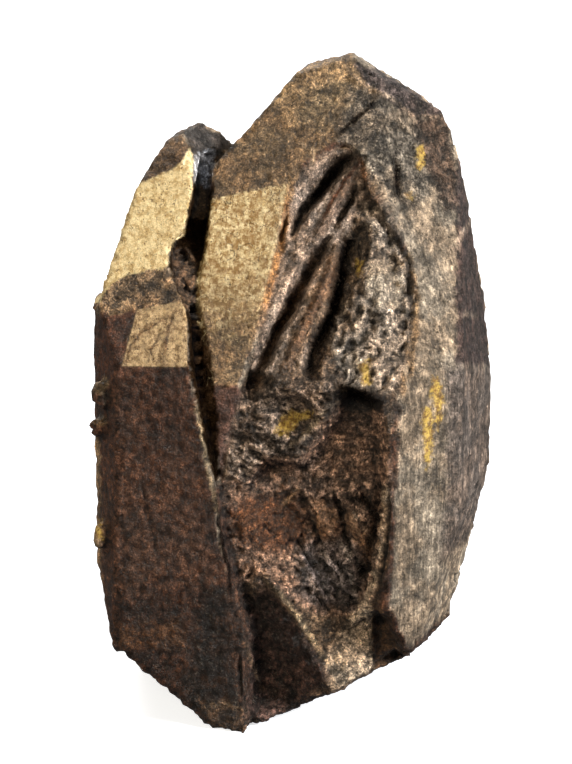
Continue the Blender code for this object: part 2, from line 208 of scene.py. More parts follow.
# Each zone is (outline, colour from 0 to 255, soft edge in pixels, shine from 0 to 1, how
# broken its ground is from 0 to 1).
ZONES = {
    # painted shadow of the taller crystal on this facet
    "left facet": (
        ((180, 128), (190, 150), (193, 178), (209, 178), (213, 162), (226, 149), (238, 146),
         (222, 134), (203, 122)),
        (58, 53, 50), 3, 0.5, 0.5,
    ),
    "left top": (
        ((118, 180), (150, 150), (180, 126), (191, 148), (180, 164), (141, 184)),
        (88, 69, 51), 3, 0.2, 0.4,
    ),
    "left glint": (
        ((195, 156), (216, 150), (213, 170), (209, 186), (194, 184)), (200, 203, 210), 5, 0.6, 0.7,
    ),
    "left band": (
        ((95, 302), (111, 284), (125, 277), (150, 270), (168, 268), (180, 290), (184, 303),
         (137, 311), (118, 313), (95, 316)),
        (116, 93, 69), 3, 0.2, 0.9,
    ),
    "left shoulder": (
        ((92, 315), (118, 313), (137, 311), (130, 335), (122, 367), (122, 374), (92, 374)),
        (74, 47, 34), 3, 0.2, 0.45,
    ),
    "left edge": (
        ((88, 436), (100, 440), (103, 600), (106, 650), (88, 650)), (150, 126, 98), 2, 0.2, 0.4,
    ),
    "left low": (
        ((100, 480), (195, 480), (208, 560), (212, 620), (108, 640), (100, 560)),
        (80, 54, 40), 30, 0.2, 0.45,
    ),
    "left foot": (
        ((95, 600), (230, 580), (250, 740), (215, 740), (150, 690), (110, 650)),
        (60, 37, 25), 30, 0.2, 0.7,
    ),
    "left foot tint": (
        ((112, 626), (180, 620), (185, 644), (125, 650)), (82, 54, 34), 12, 0.2, 0.5,
    ),
    "left foot dark": (
        ((206, 585), (232, 585), (250, 640), (250, 740), (215, 735), (180, 700), (196, 650)),
        (38, 23, 14), 16, 0.2, 0.8,
    ),
    "foot lip": (
        ((196, 700), (250, 702), (300, 700), (345, 685), (345, 720), (225, 745)),
        (72, 54, 40), 8, 0.3, 1.0,
    ),
    "right patch": (
        ((213, 388), (250, 386), (243, 400), (236, 420), (228, 450), (221, 482), (216, 430)),
        (86, 62, 53), 4, 0.2, 0.3,
    ),
    "apex": (
        ((270, 90), (310, 50), (350, 62), (352, 95), (325, 125), (290, 120)),
        (132, 110, 82), 20, 0.2, 0.5,
    ),
    "etched": (ETCHED, (98, 89, 78), 12, 0.5, 0.9),
    # painted shade on the top face that looks away from the light
    "top right": (
        ((350, 62), (372, 66), (410, 88), (447, 112), (445, 121), (412, 118), (378, 93)),
        (69, 59, 56), 4, 0.3, 0.9,
    ),
    "corner": (
        ((412, 118), (447, 116), (458, 170), (462, 210), (445, 210), (426, 165)),
        (72, 58, 48), 8, 0.3, 0.9,
    ),
    "violet": (
        ((452, 118), (458, 140), (456, 200), (455, 366), (500, 366), (485, 250), (460, 120)),
        (55, 43, 39), 5, 0.2, 0.6,
    ),
    "low right": (
        ((446, 366), (498, 366), (492, 480), (470, 540), (440, 560), (446, 480)),
        (93, 82, 74), 12, 0.2, 0.5,
    ),
    # light grey, partly the rock's own colour and partly painted light from the right
    "mass": (
        ((358, 200), (380, 205), (400, 240), (412, 290), (408, 345), (392, 395), (350, 390),
         (330, 345), (345, 300), (345, 260), (352, 225)),
        (142, 128, 114), 8, 0.4, 0.8,
    ),
    "mass left": (
        ((345, 228), (362, 205), (372, 235), (366, 290), (352, 330), (336, 345), (343, 300)),
        (94, 78, 63), 14, 0.3, 0.8,
    ),
    "grey facet": (GREY_FACET, (146, 132, 115), 4, 0.4, 0.35),
    "grey ground": (GREY_GROUND, (114, 97, 84), 8, 0.4, 1.0),
    # painted light on the furrow banks that face the light
    "banks": (
        ((352, 146), (330, 150), (305, 168), (290, 205), (284, 245), (275, 275), (262, 325),
         (250, 372), (300, 375), (330, 300), (345, 240), (366, 190)),
        (131, 114, 101), 6, 0.3, 0.35,
    ),
    "second slope": (
        ((336, 240), (344, 262), (330, 310), (305, 350), (300, 378), (276, 376), (290, 335),
         (312, 285)),
        (103, 84, 67), 6, 0.3, 0.35,
    ),
    "recess": (
        ((222, 478), (245, 480), (265, 455), (300, 458), (312, 440), (335, 408), (384, 405),
         (389, 450), (387, 500), (384, 545), (372, 600), (345, 618), (312, 612), (290, 600),
         (262, 575), (232, 590), (226, 530)),
        (121, 96, 80), 6, 0.4, 0.9,
    ),
    "lump one": (
        ((312, 500), (324, 498), (336, 512), (339, 530), (336, 548), (326, 546), (316, 530)),
        (122, 90, 66), 6, 0.5, 0.7,
    ),
    "lump two": (
        ((346, 508), (356, 512), (368, 530), (374, 552), (366, 556), (352, 540), (345, 524)),
        (124, 94, 71), 6, 0.5, 0.7,
    ),
    "orange": (
        ((222, 512), (245, 495), (285, 490), (305, 505), (310, 535), (285, 552), (240, 548)),
        (77, 48, 29), 16, 0.1, 0.6,
    ),
    "glossy": (
        ((300, 545), (350, 535), (368, 570), (352, 612), (300, 600)), (95, 84, 80), 12, 0.9, 1.0,
    ),
    "foot middle": (
        ((298, 612), (330, 620), (352, 614), (350, 640), (330, 668), (318, 650)),
        (98, 79, 61), 10, 0.4, 1.0,
    ),
    # light tan-grey, partly the rock's own colour and partly painted light from the right
    "foot right": (
        ((353, 616), (367, 605), (374, 610), (374, 668), (335, 692), (322, 672), (332, 648)),
        (157, 138, 117), 12, 0.3, 0.8,
    ),
    # painted shade on the facet under the overhanging mass
    "foot left": (
        ((246, 605), (262, 582), (290, 610), (312, 642), (332, 677), (300, 705), (262, 729),
         (246, 720)),
        (57, 40, 34), 16, 0.6, 1.0,
    ),
    # painted shadow under the overhang
    "under rim": (
        ((332, 394), (348, 386), (386, 395), (388, 413), (362, 411), (342, 407)),
        (26, 19, 14), 6, 0.1, 0.5,
    ),
    # painted highlight on the lit rim
    "rim": (
        ((383, 480), (389, 488), (387, 530), (379, 575), (366, 608), (360, 604), (376, 560)),
        (140, 120, 100), 4, 0.3, 0.5,
    ),
    "notch": (
        ((373, 603), (378, 604), (400, 659), (396, 672), (373, 672)), (75, 55, 38), 2, 0.0, 0.4,
    ),
}
# The cleft's walls and floor, whichever way they look: (outline, colour, edge, shade, ground). Its dark
# part is painted shade in the deep, narrow cleft.
CLEFT = {
    "dark": (
        ((193, 182), (192, 192), (187, 210), (183, 235), (172, 243), (168, 265), (182, 303),
         (187, 320), (188, 366), (195, 400), (200, 425), (207, 455), (214, 482), (220, 484),
         (218, 430), (216, 400), (213, 370), (210, 350), (207, 330), (203, 320), (199, 300),
         (200, 275), (207, 245), (211, 215), (213, 200), (212, 188)),
        (38, 27, 17), 2, 1.0, 0.0,
    ),
    "rock": (
        ((172, 252), (186, 248), (197, 262), (196, 298), (200, 318), (190, 314), (176, 283)),
        (74, 55, 39), 5, 0.0, 1.0,
    ),
    "strip": (
        ((215, 486), (222, 484), (228, 520), (238, 560), (247, 600), (250, 690), (238, 710),
         (232, 640), (228, 595), (220, 540)),
        (58, 38, 27), 4, 0.0, 0.8,
    ),
}

# Edges and cracks drawn as colour: (path, half width, colour, strength). Some are worn edges and
# cracks; the pale lines on lit edges, ridges, banks and folds are painted highlights, and each core is
# painted shade in a furrow, hollow, pit, crack or under an overhang, which also reflects little. A pane
# or gold line shows through the painted reflection that it crosses.
LINES = {
    "upper rim": (
        ((345, 65), (358, 80), (378, 91), (396, 101), (413, 115), (446, 118)),
        1.8, (170, 148, 126), 0.6,
    ),
    # painted highlight along the lit ridge line
    "apex line": (
        ((347, 68), (357, 84), (352, 101), (340, 114), (326, 134), (300, 165)),
        2.2, (170, 146, 116), 0.5,
    ),
    "short crack": (((300, 142), (315, 151), (312, 166)), 1.8, (190, 168, 140), 0.7),
    # painted highlight on the lit edge of the shorter crystal
    "left edge": (((196, 405), (205, 455), (212, 490), (217, 515)), 1.8, (190, 165, 130), 0.9),
    "right wall": (((390, 455), (391, 480), (390, 500)), 3, (150, 122, 104), 0.5),
    # painted highlight along the lit foot ridge
    "foot ridge": (
        ((266, 578), (282, 597), (296, 615), (324, 657), (333, 672)), 3, (170, 148, 116), 0.7,
    ),
    "first ridge": (RIDGES["first"][0], 7, (92, 66, 46), 0.8),
    "apex ridge": (((359, 157), (363, 168), (367, 183)), 3, (152, 106, 74), 0.7),
    # painted light on a bank that faces the light
    "right bank": (((368, 160), (376, 180), (388, 204), (399, 230)), 6, (138, 124, 108), 0.7),
    "first crest": (((360, 162), (347, 178), (333, 198), (322, 220)), 1.5, (120, 70, 48), 0.7),
    "second ridge": (RIDGES["second"][0], 7, (86, 60, 40), 0.8),
    # the orange-brown edge of the painted golden reflection
    "gold rim": (((291, 184), (287, 205), (282, 240), (274, 272), (261, 325)), 5, (150, 106, 60), 0.7),
    # painted shade at the bottoms of the furrows
    "upper core": (
        ((358, 157), (342, 164), (330, 178), (317, 194), (304, 212), (300, 222)), 8, (10, 7, 5), 1.0,
    ),
    "short core": (((365, 184), (354, 196), (345, 212), (334, 232)), 4, (20, 14, 9), 0.9),
    "middle core": (
        ((328, 243), (314, 262), (296, 297), (280, 326), (265, 359), (252, 388)),
        7, (62, 44, 29), 0.9,
    ),
    "inner core": (
        ((350, 226), (345, 250), (342, 275), (333, 312), (318, 344), (310, 376)), 9, (12, 8, 6), 1.0,
    ),
    "mass crack": (
        ((372, 200), (386, 216), (396, 238), (407, 261), (411, 301), (408, 332)), 4, (28, 20, 14), 0.8,
    ),
    # painted shadow under the overhang
    "overhang core": (((334, 398), (346, 390), (364, 395), (378, 404)), 10, (12, 8, 6), 1.0),
    "ledge shade": (((276, 452), (294, 450), (310, 440), (328, 420)), 3, (18, 13, 9), 0.8),
    # painted highlight on the lit ledge
    "ledge": (RIDGES["ledge"][0], 3, (150, 134, 112), 0.7),
    "glint line": (RIDGES["line"][0], 2.5, (180, 140, 100), 0.8),
    "streak": (RIDGES["streak"][0], 2.5, (120, 98, 76), 0.6),
    # painted highlights on the crests of the folds
    "fold one": (((321, 550), (329, 560), (336, 570)), 1.6, (176, 160, 148), 0.8),
    "fold two": (((342, 546), (347, 552), (351, 560)), 2.2, (190, 176, 166), 0.8),
    "fold three": (((347, 563), (352, 580), (357, 600)), 1.6, (170, 156, 146), 0.8),
    "fold four": (((352, 510), (357, 519), (364, 531)), 1.6, (170, 148, 130), 0.8),
    "fold five": (((366, 532), (372, 538), (374, 551)), 1.6, (170, 148, 130), 0.8),
    "fold six": (((298, 560), (306, 576), (318, 592)), 1.5, (140, 124, 112), 0.7),
    # painted shade in the hollows between the lumps
    "lump core": (((333, 494), (341, 512), (344, 532), (350, 552)), 3, (24, 17, 12), 0.8),
    "hollow core": (((350, 500), (360, 497), (370, 506), (376, 522)), 4, (20, 14, 10), 0.8),
    # painted shade in the crack, in the pit and beside the rim
    "top crack core": (GROOVES["top crack"][0], 3, (18, 13, 10), 0.9),
    "pit core": (((396, 156), (397, 178), (399, 200)), 5, (24, 17, 12), 0.9),
    "rim core": (((380, 470), (375, 520), (367, 560), (352, 598)), 6, (26, 18, 13), 0.75),
    "left crack": (((138, 472), (146, 505), (152, 530), (158, 565)), 1.6, (26, 18, 14), 0.8),
    "suture core": (
        ((214, 482), (217, 508), (222, 545), (229, 570), (230, 605)), 2.5, (16, 11, 8), 0.9,
    ),
    "rim crack": (((390, 484), (389, 529), (384, 560), (376, 606)), 2.2, (16, 11, 8), 0.9),
    "slit": (GROOVES["slit"][0], 3.5, (16, 11, 8), 0.8),
    "pale one": (((458, 243), (461, 236), (470, 222)), 2, (170, 150, 132), 0.7),
    "pale two": (((447, 251), (458, 248), (461, 240)), 2, (170, 150, 132), 0.6),
    "pale three": (((457, 318), (466, 314), (476, 316)), 2, (170, 150, 132), 0.6),
    # dark marks across the pane-shaped painted reflection
    "pane arc": (((125, 364), (130, 346), (142, 332), (156, 324), (170, 315)), 1.8, (96, 68, 40), 1.0),
    "pane rib": (((164, 364), (166, 338), (172, 316), (180, 303)), 1.8, (84, 58, 34), 1.0),
    "pane scratch": (((147, 364), (152, 348), (160, 335), (168, 330)), 1.5, (100, 72, 44), 0.9),
    "pane nick": (((134, 350), (143, 347), (152, 349)), 1.5, (100, 72, 44), 0.9),
    "level line": (((203, 707), (225, 704), (246, 710)), 2, (150, 120, 90), 0.5),
}


class Stone:
    """The surface's points in mm, with where each falls in the front picture."""

    def __init__(self, points, normals):
        self.points = points
        self.normals = normals
        right, up, back = camera_axes()
        away = points - camera_place()
        depth = -(away @ back)
        self.px = PICTURE[0] / 2 + FOCAL_PIXELS * (away @ right) / depth
        self.py = PICTURE[1] / 2 - FOCAL_PIXELS * (away @ up) / depth
        facing = -(normals * away).sum(1) / np.linalg.norm(away, axis=1)
        self.front = smooth(facing / 0.15 + 0.5)

    def beside(self, path):
        """Distance in pixels from each point to a path that runs down, negative left of it,
        and how far along the path, from 0 to 1, the nearest place lies."""
        nearest = np.full(len(self.px), np.inf)
        side = np.ones(len(self.px))
        share = np.zeros(len(self.px))
        lengths = [math.dist(start, end) for start, end in zip(path, path[1:])]
        done = 0.0
        for (ax, ay), (bx, by), length in zip(path, path[1:], lengths):
            across, down = bx - ax, by - ay
            along = (self.px - ax) * across + (self.py - ay) * down
            along = np.clip(along / (length * length), 0, 1)
            gap = np.hypot(self.px - ax - along * across, self.py - ay - along * down)
            cross = (self.px - ax) * down - (self.py - ay) * across
            closer = gap < nearest
            nearest = np.where(closer, gap, nearest)
            side = np.where(closer, np.where(cross < 0, -1, 1), side)
            share = np.where(closer, (done + along * length) / sum(lengths), share)
            done += length
        return nearest * side, share

    def inside(self, outline):
        """Distance in pixels inside an outline; negative outside."""
        within = np.zeros(len(self.px), bool)
        closed = list(outline) + [outline[0]]
        for (ax, ay), (bx, by) in zip(closed, closed[1:]):
            if ay == by:
                continue
            spans = (ay > self.py) != (by > self.py)
            within ^= spans & (self.px < (bx - ax) * (self.py - ay) / (by - ay) + ax)
        gap = np.abs(self.beside(closed)[0])
        return np.where(within, gap, -gap)

    def patch(self, outline, edge, wander=0.0):
        """1 inside an outline on the front, 0 outside, with an edge this soft."""
        return smooth((self.inside(outline) + wander) / edge + 0.5) * self.front

    def noise(self, size, seed=0.0, octaves=3, stretch=(1.0, 1.0, 1.0)):
        """Smooth noise from about -1 to 1, whose bumps are about size mm across."""
        offset = Vector((seed, seed * 1.7, -seed))
        places = self.points / (size * np.array(stretch))
        return np.array([noise.fractal(Vector(at) + offset, 0.7, 2.0, octaves) for at in places])

    def grained(self, direction, length, width, seed=0.0, octaves=3):
        """Noise drawn out along a direction in the front picture; lengths in pixels."""
        across, down = direction
        size = math.hypot(across, down)
        along = (self.px * across + self.py * down) / size
        beside = (self.py * across - self.px * down) / size
        return np.array([
            noise.fractal(Vector((u / length, v / width, seed)), 0.7, 2.0, octaves)
            for u, v in zip(along, beside)
        ])

    def chips(self, size, seed=0.0):
        """Small tilted flats like broken crystal, from about -1 to 1."""
        offset = Vector((seed, -seed, seed * 0.3))
        heights = np.empty(len(self.points))
        for index, at in enumerate(self.points / size):
            place = Vector(at) + offset
            seat = noise.voronoi(place)[1][0]
            tilt = noise.noise_vector(seat * 7.3)
            heights[index] = (place - seat).dot(tilt)
        return heights * 2


def smooth(value):
    value = np.clip(value, 0, 1)
    return value * value * (3 - 2 * value)


# ---------------------------- the stone's surface

def read_vectors(items, key):
    flat = np.empty(len(items) * 3)
    items.foreach_get(key, flat)
    return flat.reshape(-1, 3)


def stone_of(mesh, rounds=0):
    """The mesh's points; with rounds, each faces as its neighbours do on average."""
    normals = neighbour_means(mesh, read_vectors(mesh.vertex_normals, "vector"), rounds)
    normals /= np.linalg.norm(normals, axis=1)[:, None]
    return Stone(read_vectors(mesh.vertices, "co") / MM, normals)


def evaluated_mesh(piece):
    graph = bpy.context.evaluated_depsgraph_get()
    return bpy.data.meshes.new_from_object(piece.evaluated_get(graph))


def even_faces(source):
    """A copy of the solid with small even faces, finer on the broken ground."""
    piece = bpy.data.objects.new("zircon_surface", source.data.copy())
    piece.data.materials.clear()
    bpy.context.scene.collection.objects.link(piece)
    modifier = piece.modifiers.new("even faces", "REMESH")
    modifier.mode = "VOXEL"
    modifier.voxel_size = FACE_SIZE * MM
    mesh = evaluated_mesh(piece)
    piece.modifiers.clear()
    stone = stone_of(mesh)
    fine = (stone.inside(FINE_GROUND) > 0) & (stone.front > 0.5)
    build = bmesh.new()
    build.from_mesh(mesh)
    build.verts.ensure_lookup_table()
    edges = [edge for edge in build.edges if all(fine[vert.index] for vert in edge.verts)]
    bmesh.ops.subdivide_edges(build, edges=edges, cuts=1, use_grid_fill=True)
    build.to_mesh(mesh)
    build.free()
    piece.data = mesh
    snap_to(source, mesh)
    return piece


def snap_to(source, mesh):
    """Brings the remeshed points back onto the solid, so its edges stay crisp."""
    tree = bvhtree.BVHTree.FromObject(source, bpy.context.evaluated_depsgraph_get())
    points = read_vectors(mesh.vertices, "co")
    found = np.array([tree.find_nearest(Vector(point))[0] for point in points])
    mesh.vertices.foreach_set("co", found.ravel())
    mesh.polygons.foreach_set("use_smooth", np.ones(len(mesh.polygons), bool))
    mesh.update()


def neighbour_means(mesh, values, rounds=1):
    """Each point's values averaged with its neighbours'."""
    ends = np.empty(len(mesh.edges) * 2, int)
    mesh.edges.foreach_get("vertices", ends)
    first, second = ends.reshape(-1, 2).T
    size = len(values)
    count = np.bincount(ends, minlength=size) + 1.0
    columns = list(values.reshape(size, -1).T)
    for _ in range(rounds):
        for index, column in enumerate(columns):
            total = column + np.bincount(first, column[second], size)
            columns[index] = (total + np.bincount(second, column[first], size)) / count
    return np.stack(columns, 1).reshape(values.shape)


def crests(mesh, rounds):
    """How far in mm each point stands out of the smoothed surface around it."""
    points = read_vectors(mesh.vertices, "co") / MM
    around = neighbour_means(mesh, points, rounds)
    return ((points - around) * read_vectors(mesh.vertex_normals, "vector")).sum(1)


def taper(share):
    """1 along the middle of a path, less at its two ends."""
    return 0.3 + 0.7 * np.sin(np.pi * np.clip(share, 0, 1)) ** 0.6


def groove_height(stone, wander, path, left, right, depth):
    away, share = stone.beside(path)
    away += np.minimum(left, right) * 0.35 * wander
    slope = np.where(away < 0, -away / left, away / right) / taper(share)
    return -depth * taper(share) * np.clip(1 - slope, 0, 1) ** 1.2 * stone.front


def ridge_height(stone, wander, path, width, height):
    away, share = stone.beside(path)
    away += 0.5 * width * wander
    return height * taper(share) * np.clip(1 - np.abs(away) / width, 0, 1) * stone.front


def front_relief(stone):
    """The grooves, ridges and wrinkles of the front, in mm."""
    wander = stone.noise(0.9, 21.0, 3)
    height = np.zeros(len(stone.px))
    for groove in GROOVES.values():
        height = np.minimum(height, groove_height(stone, wander, *groove))
    for ridge in RIDGES.values():
        height += ridge_height(stone, wander, *ridge)
    return height


def ridged(values):
    """Noise folded so that it has sharp crests and round hollows."""
    return 0.5 - 2 * np.abs(values)


def broken_relief(stone):
    """The hackly ground of the scar, in mm: chunky on the mass, drawn out along the banks."""
    facet = stone.patch(GREY_FACET, 6.0)
    lumpy = stone.patch(ZONES["mass"][0], 10.0) * (1 - 0.95 * facet)
    banks = stone.patch(FAN, 8.0) * (1 - lumpy)
    wrinkled = stone.patch(WRINKLED, 16.0)
    grey = stone.patch(GREY_GROUND, 12.0)
    common = 0.10 * stone.chips(0.9, 3.0) + 0.06 * ridged(stone.noise(0.35, 9.0, 3))
    common += 0.07 * stone.noise(0.3, 4.0, 3)
    height = common * (1 - np.maximum(0.5 * banks, 0.8 * facet))
    cut = ridged(stone.grained((-0.45, 0.9), 36, 20, 5.0, 2))
    lumps = 0.34 * cut + 0.34 * stone.chips(1.9, 5.0) + 0.12 * stone.noise(0.6, 6.0, 4)
    height += lumpy * (lumps - 0.1)
    height += facet * 0.08 * ridged(stone.grained((-0.25, 0.97), 60, 5, 7.0, 2))
    height += banks * 0.10 * ridged(stone.grained((-0.55, 0.83), 70, 8, 1.0))
    height += wrinkled * 0.26 * ridged(stone.grained((0.5, 0.86), 24, 9, 2.0, 3))
    height += stone.patch(ZONES["recess"][0], 10.0) * 0.12 * ridged(stone.noise(0.8, 15.0, 3))
    height += grey * 0.22 * ridged(stone.grained((0.8, 0.6), 26, 9, 3.0, 3))
    return height


def move_along_normals(mesh, height):
    stone = stone_of(mesh)
    points = stone.points + stone.normals * height[:, None]
    points[:, 2] = np.maximum(points[:, 2], 0.0)
    move(mesh, points)


def shape_surface(mesh):
    """Moves the surface's points in and out: waves, worn edges, broken ground and grooves."""
    soften(mesh)
    stone = stone_of(mesh)
    edge = smooth(crests(mesh, 4) / 0.06)
    wear = edge * (0.02 + 0.30 * smooth(stone.noise(0.7, 5.0, 3) * 1.5))
    skin = 0.05 * stone.noise(3.0, 1.0, 2) + 0.09 * stone.noise(0.55, 2.0, 3)
    polished = np.maximum(stone.patch(GOLD_REFLECTION_LEFT, 4.0), stone.patch(GOLD_REFLECTION_RIGHT, 4.0))
    skin *= 1 - 0.6 * polished
    scar = stone.patch(SCAR, 6.0)
    rough = np.maximum(scar, 0.35 * stone.patch(ETCHED, 10.0))
    tilt = neighbour_means(mesh, stone.normals[:, 2], 6)
    under = smooth((-tilt - 0.05) / 0.3) * (1 - scar)
    height = skin - wear * (1 - scar) + rough * broken_relief(stone) + front_relief(stone)
    height += under * (0.25 * stone.chips(1.2, 13.0) + 0.12 * stone.noise(0.5, 14.0, 3))
    rock = smooth(stone.inside(CLEFT["rock"][0]) / 6 + 0.5) * (stone.points[:, 1] < 0)
    height += rock * (0.5 * stone.chips(0.9, 17.0) + 0.2 * stone.noise(0.5, 18.0, 3))
    move_along_normals(mesh, height)


def soften(mesh):
    """Rounds off the solid's steps in the scar, before the fine ground goes on."""
    stone = stone_of(mesh)
    share = 0.6 * stone.patch(SCAR, 8.0)[:, None]
    move(mesh, stone.points + share * (neighbour_means(mesh, stone.points, 10) - stone.points))
    cut_fan(mesh)


def cut_fan(mesh):
    """Cuts the fan's furrows with even banks, down from the crystal's face beside them."""
    stone = stone_of(mesh)
    whole = (stone.inside(GOLD_REFLECTION_RIGHT) > 6) & (stone.front > 0.9)
    normal = stone.normals[whole].mean(0)
    normal /= np.linalg.norm(normal)
    level = stone.points @ normal - (stone.points[whole] @ normal).mean()
    share = smooth(stone.inside(FAN) / FAN_EDGE + 0.5) * (np.abs(level) < 4)
    seat = stone.points - level[:, None] * normal
    depth = np.zeros(len(level))
    wander = 0.5 * stone.noise(0.9, 21.0, 2)
    for _ in range(4):
        seen = Stone(seat - depth[:, None] * normal, stone.normals)
        seen.front = np.ones(len(level))
        cut = np.zeros(len(level))
        for furrow in FURROWS.values():
            cut = np.minimum(cut, groove_height(seen, wander, *furrow))
        depth = 0.5 * (depth + FAN_SKIN - cut)
    target = seat - depth[:, None] * normal
    move(mesh, stone.points + share[:, None] * (target - stone.points))


def move(mesh, points):
    mesh.vertices.foreach_set("co", (points * MM).ravel())
    mesh.update()


# ---------------------------- colour over the surface

# GREY_TAN goes on the faces turned to the right, partly as weathering and partly as painted light from
# the right; UNDER_TONE on the undersides is painted shade.
PRISM = (72, 47, 34)
PYRAMID = (111, 90, 66)
GREY_TAN = (127, 114, 98)
SCAR_TONE = (84, 68, 54)
UNDER_TONE = (58, 43, 34)
FADE_END = 402
FADE_LENGTH = 150
# Where in the front picture the taller crystal's painted golden reflection has faded out, and over how
# far.
"""Where in the front picture the taller crystal's yellow has faded out, and over how far."""


def linear(colour):
    """A colour given as screen values from 0 to 255."""
    value = np.array(colour) / 255
    return np.where(value <= 0.04045, value / 12.92, ((value + 0.055) / 1.055) ** 2.4)


def lay(tone, share, colour):
    return tone + share[:, None] * (linear(colour) - tone)


def face_tones(stone, tilt, weathered):
    """The colour of each crystal face, by where it looks: lighter grey-tan on the faces turned to the
    right, partly weathering and partly painted light, and darker on the undersides as painted shade.
    """
    tone = np.tile(linear(PRISM), (len(stone.px), 1))
    tone = lay(tone, smooth((tilt - 0.2) / 0.15), PYRAMID)
    tone = lay(tone, weathered, GREY_TAN)
    return lay(tone, smooth((-tilt - 0.25) / 0.2), UNDER_TONE)


def crest_light_shade_and_wear(mesh, scar, drift):
    """How much lighter the crests are than the hollows, with broad soft changes: the hollows darkened
    as painted shade and dirt, the crests lightened as painted highlight and wear.
    """
    swell = crests(mesh, 30) * scar
    factor = (1 + 0.6 * np.clip(swell / 0.35, -1, 1)) * (1 + 0.3 * drift)
    crest = crests(mesh, 6)
    factor *= 0.12 + 0.88 * smooth(crest / 0.16 + 1.0)
    return factor * (1 + 0.7 * smooth(crest / 0.14))


def paint(mesh):
    """Stores the broad colours with the painted light and shade among them, the shine and the crisp
    marks that the material reads.
    """
    stone = stone_of(mesh, 5)
    drift = stone.noise(2.2, 11.0, 3)
    wander = 4 * stone.noise(0.5, 12.0, 2)
    turn = np.degrees(np.arctan2(stone.normals[:, 0], -stone.normals[:, 1]))
    tilt = neighbour_means(mesh, stone.normals[:, 2], 6)
    # the faces turned to the right, lighter partly as painted light from the right
    weathered = smooth((turn - 8) / 20) * smooth((150 - turn) / 30)
    scar = stone.patch(SCAR, 5.0, wander)
    tone = lay(face_tones(stone, tilt, weathered), scar, SCAR_TONE)
    shine = np.full(len(stone.px), 0.2)
    ground = 0.42 + 0.4 * scar
    shade = np.zeros(len(stone.px))
    for outline, colour, edge, gloss, broken in ZONES.values():
        share = stone.patch(outline, edge, wander)
        tone = lay(tone, share, colour)
        shine += share * (gloss - shine)
        ground += share * (broken - ground)
    for outline, colour, edge, depth, broken in CLEFT.values():
        share = smooth((stone.inside(outline) + 0.5 * wander) / edge + 0.5)
        share *= stone.points[:, 1] < 0
        tone = lay(tone, share, colour)
        shade += share * (depth - shade)
        ground += share * (broken - ground)
    # painted shade in the hollows and painted highlight on the crests, with dirt and wear
    tone = tone * crest_light_shade_and_wear(mesh, stone.patch(SCAR, 8.0), drift)[:, None]
    marked = np.zeros(len(stone.px))
    for name, (path, width, colour, strength) in LINES.items():
        away, share = stone.beside(path)
        near = smooth(1.3 - np.abs(away + 0.4 * wander) / width) * taper(share)
        near *= strength * stone.front
        tone = lay(tone, near, colour)
        # each core is painted shade, made metallic so that it reflects little
        if name.endswith("core"):
            shade = np.maximum(shade, near)
        if name.startswith(("pane", "gold")):
            marked = np.maximum(marked, near)
    fade = np.clip((FADE_END - stone.py) / FADE_LENGTH, 0, 1)
    stored = {
        "tone": np.clip(tone, 0.002, 1),
        "shine": shine,
        "shade": shade,
        "ground": ground,
        "marked": marked,
        "streaky": weathered * (1 - stone.patch(SCAR, 8.0)),
        "gold": signed(stone, GOLD_REFLECTION_LEFT),
        "pane": signed(stone, PANE_REFLECTION_LEFT),
        "gold_right": signed(stone, GOLD_REFLECTION_RIGHT),
        "fade": fade * (1 - 0.25 * smooth((stone.px - 250) / 35)),
        "ochre": np.maximum.reduce([signed(stone, outline) for outline in OCHRE.values()]),
    }
    for name, values in stored.items():
        store(mesh, name, values)


def signed(stone, outline):
    """Pixels inside an outline on the front, from -20 outside to 20 inside."""
    return np.where(stone.front > 0.45, np.clip(stone.inside(outline), -20, 20), -20)


def store(mesh, name, values):
    kind = "FLOAT" if values.ndim == 1 else "FLOAT_COLOR"
    attribute = mesh.attributes.new(name, kind, "POINT")
    if values.ndim == 1:
        attribute.data.foreach_set("value", values.astype(np.float32))
        return
    colours = np.ones((len(values), 4), np.float32)
    colours[:, :3] = values
    attribute.data.foreach_set("color", colours.ravel())


# ---------------------------- material

